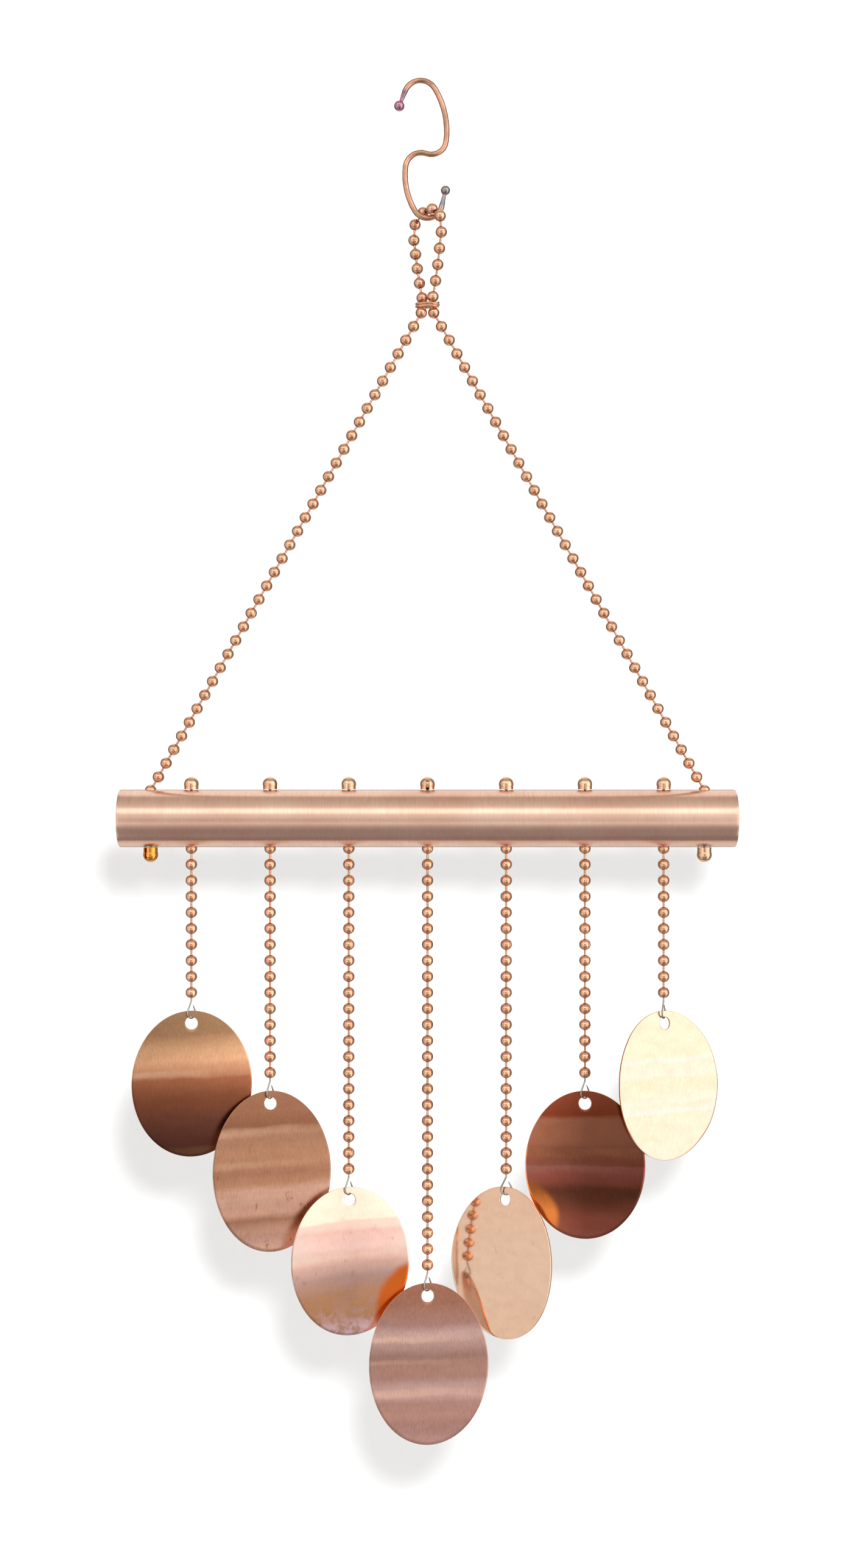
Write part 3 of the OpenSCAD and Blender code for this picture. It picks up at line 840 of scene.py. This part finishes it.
BURNISHED = (0.96, 0.66, 0.48)
# Pale copper: the colour of the painted highlights, and of the light clouds on a sheet's back
PALE_COPPER = (0.97, 0.64, 0.48)
BACK_COPPER = (0.84, 0.50, 0.37)
CLOUD_SHADE = (0.80, 0.72, 0.68)
SPECK = (0.30, 0.13, 0.06)
OXIDE = (0.55, 0.27, 0.11)
# How many half widths a disc is tall, about, which makes the painted reflection of a neighbour round
DISC_SLENDER = 2.5
# How far along its reach the painted reflection of a neighbour starts to fade, and over how much of it
REFLECTION_CORE = 0.85
REFLECTION_FADE = 0.2
# How much noise bends the colour bands, as a share of the height
BAND_WANDER = 0.05
# How much full grain changes a sheet's colour, roughness and relief
GRAIN_SHADE = 0.7
GRAIN_ROUGHNESS = 0.25
GRAIN_RELIEF = 0.12
OXIDE_ROUGHNESS = 0.25


def add_painted_side_light(s, colour, across, sides):
    """Painted light and shade: the colour multiplied by more and more towards each rim, up to that rim's own gain.
    """
    gain = 1.0
    for way, rim_gain in zip((-1.0, 1.0), sides):
        toward = s.math("MAXIMUM", s.math("MULTIPLY", across, way), 0.0)
        gain = s.math("ADD", gain, s.math("MULTIPLY", toward, rim_gain - 1))
    return s.mix(1.0, colour, gain, "MULTIPLY")


def add_painted_glints(s, colour, across, down, painted_glints):
    """Painted highlights: level bright bands, which fade to the right."""
    fade = s.ramp(s.math("MULTIPLY_ADD", across, 0.5, 0.5), [(0.1, 1.0), (0.95, 0.1)])
    for place, half, soft, strength in painted_glints:
        line = s.math("MULTIPLY", s.band(down, place, half, soft), strength)
        colour = s.mix(s.math("MULTIPLY", line, fade), colour, PALE_COPPER)
    return colour


def add_specks(s, colour, spots):
    """Brown specks, gathered in patches."""
    specks = s.ramp(s.noise((600, 600, 340), 4, 0.65), [(0.61, 0.0), (0.69, 0.8)])
    patches = s.ramp(s.noise((110, 110, 80), 2), [(0.42, 0.0), (0.6, 1.0)])
    share = s.math("MULTIPLY", s.math("MULTIPLY", specks, patches), spots)
    return s.mix(share, colour, SPECK)


def oxide_corner(s, across, down):
    """How far a point lies in the lower left corner, where a sheet is mottled with oxide."""
    low = s.ramp(down, [(0.60, 0.0), (0.76, 1.0)])
    left = s.ramp(s.math("MULTIPLY", across, -1.0), [(0.0, 0.7), (0.5, 1.0)])
    return s.math("MULTIPLY", low, left)


def add_neighbour_reflection(s, colour, across, down, neighbour_reflection):
    """A round orange patch, the painted reflection of a neighbouring disc that hangs close."""
    reflection_across, reflection_down, reach, tint = neighbour_reflection
    sideways = s.math("SUBTRACT", across, reflection_across)
    drop = s.math("MULTIPLY", s.math("SUBTRACT", down, reflection_down), DISC_SLENDER)
    square = s.math("ADD", s.math("MULTIPLY", sideways, sideways), s.math("MULTIPLY", drop, drop))
    patch = s.band(s.math("SQRT", square), 0.0, reach * REFLECTION_CORE, reach * REFLECTION_FADE)
    return s.mix(patch, colour, tint)


def sheet_copper(name, bands, rough, spots, grain, edge=BURNISHED, **extras):
    """Thin sheet copper with rolling marks, brown specks, a burnished edge and level colour bands, mostly painted
    reflections and partly tarnish.
    """
    material, s = new_material(name)
    wander = s.swing(s.noise((90, 90, 260), 3), BAND_WANDER)
    across = s.read("across")
    tilt = s.math("MULTIPLY", across, extras.get("slant", 0.0))
    down = s.math("ADD", s.math("ADD", s.read("down"), tilt), wander)
    # The bands are mostly painted reflections of the room, and partly tarnish
    colour = s.ramp(down, bands)
    # Painted light and shade, growing towards the left and the right rim
    if "sides" in extras:
        colour = add_painted_side_light(s, colour, across, extras["sides"])
    # Painted highlights in level bands, fading to the right
    if "painted_glints" in extras:
        colour = add_painted_glints(s, colour, across, down, extras["painted_glints"])
    clouds = s.ramp(s.noise((260, 260, 420), 5), [(0.4, 0.0), (0.7, 0.3)])
    colour = s.mix(clouds, colour, s.mix(1.0, colour, CLOUD_SHADE, "MULTIPLY"))
    colour = add_specks(s, colour, spots)
    if "mottled" in extras:
        corner = oxide_corner(s, across, down)
        oxide = s.ramp(s.noise((380, 380, 380), 7, 0.7), [(0.44, 0.0), (0.58, 1.0)])
        colour = s.mix(s.math("MULTIPLY", corner, oxide), colour, OXIDE)
        rough = s.math("ADD", rough, s.math("MULTIPLY", corner, OXIDE_ROUGHNESS))
    # An orange patch, the painted reflection of the neighbouring disc
    if "neighbour_reflection" in extras:
        colour = add_neighbour_reflection(s, colour, across, down, extras["neighbour_reflection"])
    colour = s.mix(s.read("behind"), colour, s.mix(clouds, BACK_COPPER, PALE_COPPER))
    colour = s.mix(s.read("edge"), colour, edge)
    marks = s.noise((4500, 4500, 500), 3, 0.65)
    worn = s.math("ADD", 1.0, s.swing(marks, GRAIN_SHADE * grain))
    colour = s.mix(1.0, colour, worn, "MULTIPLY")
    rough = s.math("ADD", rough, s.swing(marks, GRAIN_ROUGHNESS * grain))
    s.metal(colour, rough, s.bump(marks, GRAIN_RELIEF * grain, MARK_DEPTH))
    return material


# ---- Stage ----

WALL_GAP = 0.24
WALL_HALF = 0.7
WALL_TOP = 0.5
FLOOR_HALF = 2
FLOOR_DROP = 0.16
SENSOR_MM = 36
CAMERA_DISTANCE = 0.56
VIEW_HEIGHT = 0.4335
# The picture's middle lies this far above the tube's axis
VIEW_RISE = 0.0095


def plain_paint(name, colour, one_sided=False):
    """Matt paint with a fine grain. A camera behind a one-sided sheet looks through it."""
    material, s = new_material(name)
    grain = s.noise((150, 150, 150), 4)
    paint = s.add("BsdfPrincipled", {"Base Color": (*colour, 1), "Roughness": 0.9, "Specular IOR Level": 0.1})
    s.put(s.bump(grain, 0.25, 0.4), paint.inputs["Normal"])
    surface = paint.outputs[0]
    if one_sided:
        behind = s.add("NewGeometry").outputs["Backfacing"]
        surface = s.either(behind, surface, s.add("BsdfTransparent").outputs[0])
    s.add("OutputMaterial", {"Surface": surface})
    return material


def stage_sheet(name, corners, material):
    """A flat sheet of the stage. Metal reflects the room's panels instead of it."""
    mesh = bpy.data.meshes.new(name)
    mesh.from_pydata(corners, [], [(0, 1, 2, 3)])
    mesh.materials.append(material)
    sheet = bpy.data.objects.new(name, mesh)
    bpy.context.scene.collection.objects.link(sheet)
    sheet.visible_glossy = False
    return sheet


def build_stage():
    """The floor under the chime and the wall behind it."""
    floor_z = cad_box[0][2] - FLOOR_DROP
    floor_corners = [
        (-FLOOR_HALF, -FLOOR_HALF, floor_z),
        (FLOOR_HALF, -FLOOR_HALF, floor_z),
        (FLOOR_HALF, FLOOR_HALF, floor_z),
        (-FLOOR_HALF, FLOOR_HALF, floor_z),
    ]
    wall_corners = [
        (-WALL_HALF, WALL_GAP, floor_z),
        (WALL_HALF, WALL_GAP, floor_z),
        (WALL_HALF, WALL_GAP, WALL_TOP),
        (-WALL_HALF, WALL_GAP, WALL_TOP),
    ]
    floor = stage_sheet("floor", floor_corners, plain_paint("floor_paint", (0.82, 0.81, 0.80)))
    wall_paint = plain_paint("wall_paint", (0.775, 0.79, 0.81), one_sided=True)
    return floor, stage_sheet("wall", wall_corners, wall_paint)


def place_camera(tube_centre):
    """The camera, straight in front of the chime."""
    data = bpy.data.cameras.new("camera")
    data.sensor_fit = "VERTICAL"
    data.sensor_height = SENSOR_MM
    data.lens = SENSOR_MM * CAMERA_DISTANCE / VIEW_HEIGHT
    camera = bpy.data.objects.new("camera", data)
    camera.location = (tube_centre[0], -CAMERA_DISTANCE, tube_centre[2] + VIEW_RISE)
    camera.rotation_euler = (math.pi / 2, 0, 0)
    bpy.context.scene.collection.objects.link(camera)
    bpy.context.scene.camera = camera
    return camera


# The key lamp's place to the right of the camera and above it, its size and its power in watts
KEY_RIGHT = 0.022
KEY_RISE = 0.045
KEY_SIZE = 0.04
KEY_POWER = 4.6


def light_stage(sheets, camera):
    """A lamp that lights the stage only and throws soft shadows down and to the left."""
    lit = bpy.data.collections.new("stage_lit")
    for sheet in sheets:
        lit.objects.link(sheet)
    data = bpy.data.lights.new("key", "AREA")
    data.shape = "DISK"
    data.size = KEY_SIZE
    data.energy = KEY_POWER
    lamp = bpy.data.objects.new("key", data)
    lamp.location = camera.location + Vector((KEY_RIGHT, 0, KEY_RISE))
    lamp.rotation_euler = camera.rotation_euler
    lamp.visible_glossy = False
    bpy.context.scene.collection.objects.link(lamp)
    lamp.light_linking.receiver_collection = lit


# Brightness of the room from straight down to straight up: (elevation in degrees, colour)
ROOM = [
    (-90, (0.30, 0.27, 0.27)), (-58, (0.29, 0.26, 0.27)), (-42, (0.36, 0.33, 0.33)),
    (-27, (0.52, 0.48, 0.47)), (-15, (1.0, 0.97, 0.93)), (3, (0.72, 0.70, 0.67)),
    (16, (0.82, 0.80, 0.77)), (45, (0.80, 0.76, 0.70)), (58, (0.66, 0.62, 0.57)),
    (75, (0.58, 0.54, 0.49)), (90, (0.56, 0.52, 0.47)),
]
# What stands out in the room, in degrees: (centre azimuth, centre elevation, half width, half height,
# softness across, softness up, brightness). Azimuth 0 is in front of the chime and positive to its right.
# Later ones cover earlier ones.
PANELS = [
    (118, 0, 28, 55, 15, 20, 0.28),
    (-118, 0, 28, 55, 15, 20, 0.24),
    (180, -2, 30, 22, 12, 12, 0.32),
    (180, -52, 40, 20, 12, 12, 0.85),
    (180, 52, 40, 22, 12, 12, 1.05),
    (-6, -7, 8, 6, 5, 4, 0.30),
    (-42, -10, 14, 16, 10, 10, 1.25),
    (-74, -15, 20, 42, 10, 16, 0.82),
    (8, 30, 50, 5, 20, 8, 1.75),
    (50, 2, 14, 22, 8, 8, 1.8),
    (67, -12, 11, 42, 6, 8, 1.6),
    (24, -1, 7, 3, 4, 3, 1.0),
    (29, 15, 8, 10, 5, 1.5, 1.3),
]
# A panel's colour at brightness 1, and the backdrop beyond the stage's edges
PANEL_TINT = (1, 0.985, 0.95)
BACKDROP = (0.93, 0.93, 0.94, 1)


def build_world():
    """The room that the metal reflects, which the camera sees as a plain backdrop."""
    world = bpy.data.worlds.new("studio")
    bpy.context.scene.world = world
    world.use_nodes = True
    s = Shader(world.node_tree)
    way = s.add("SeparateXYZ", {"Vector": s.add("TexCoord").outputs["Generated"]}).outputs
    azimuth = s.math("DEGREES", s.math("ARCTAN2", way[0], s.math("MULTIPLY", way[1], -1.0)))
    elevation = s.math("DEGREES", s.math("ARCSINE", way[2]))
    height = s.math("ADD", s.math("DIVIDE", elevation, 180.0), 0.5)
    light = s.ramp(height, [(degrees / 180 + 0.5, colour) for degrees, colour in ROOM])
    for centre_a, centre_e, half_w, half_h, soft_w, soft_h, brightness in PANELS:
        # Distance in azimuth is measured the short way round
        apart = s.math("WRAP", s.math("SUBTRACT", azimuth, centre_a), 180.0, -180.0)
        across = s.band(apart, 0.0, half_w, soft_w)
        inside = s.math("MULTIPLY", across, s.band(elevation, centre_e, half_h, soft_h))
        light = s.mix(inside, light, [brightness * share for share in PANEL_TINT])
    around = s.add("Background", {"Color": light, "Strength": 1.0}).outputs[0]
    plain = s.add("Background", {"Color": BACKDROP, "Strength": 1.0}).outputs[0]
    seen = s.add("LightPath").outputs["Is Camera Ray"]
    s.add("OutputWorld", {"Surface": s.either(seen, around, plain)})


# ---- The chime ----

# The bright colour, the dull colour and the roughness of each polished part
chain_copper = polished_copper(
    "chain_copper", (0.92, 0.54, 0.36), (0.70, 0.36, 0.22), 0.14, hole_shade_and_grime=True
)
link_copper = polished_copper("link_copper", (0.80, 0.46, 0.32), (0.62, 0.32, 0.21), 0.22)
cover_copper = polished_copper("cover_copper", (0.95, 0.62, 0.42), (0.82, 0.47, 0.30), 0.15)
cover_gold = polished_copper("cover_gold", (0.95, 0.45, 0.10), (0.85, 0.33, 0.05), 0.13)
wrap_copper = polished_copper("wrap_copper", (0.86, 0.50, 0.35), (0.64, 0.32, 0.21), 0.2)
eye_steel = steel_wire("eye_steel")

build_chains(chain_copper, link_copper)
build_hook(heated_copper("hook_copper"))
smooth_copy("wire_wrap", wrap_copper, voxel=0.07, rounds=6, waves=0.02)
build_tube(brushed_copper("tube_copper"))
smooth_copy("left_end_cover", cover_gold, voxel=0.06, rounds=4)
smooth_copy("right_end_cover", cover_copper, voxel=0.06, rounds=4)
for n in CHIMES:
    smooth_copy(f"chime_{n}_cover", cover_copper, voxel=0.06, rounds=4)
    smooth_copy(f"chime_{n}_eye", eye_steel, voxel=0.055, rounds=5)
    look = dict(DISC_LOOKS[n])
    ripples = look.pop("ripples")
    build_disc(n, sheet_copper(f"disc_{n}_copper", **look), ripples)

tube_low, tube_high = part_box("cross_tube")
light_stage(build_stage(), place_camera((tube_low + tube_high) / 2))
build_world()
bpy.context.scene.view_settings.view_transform = "Standard"
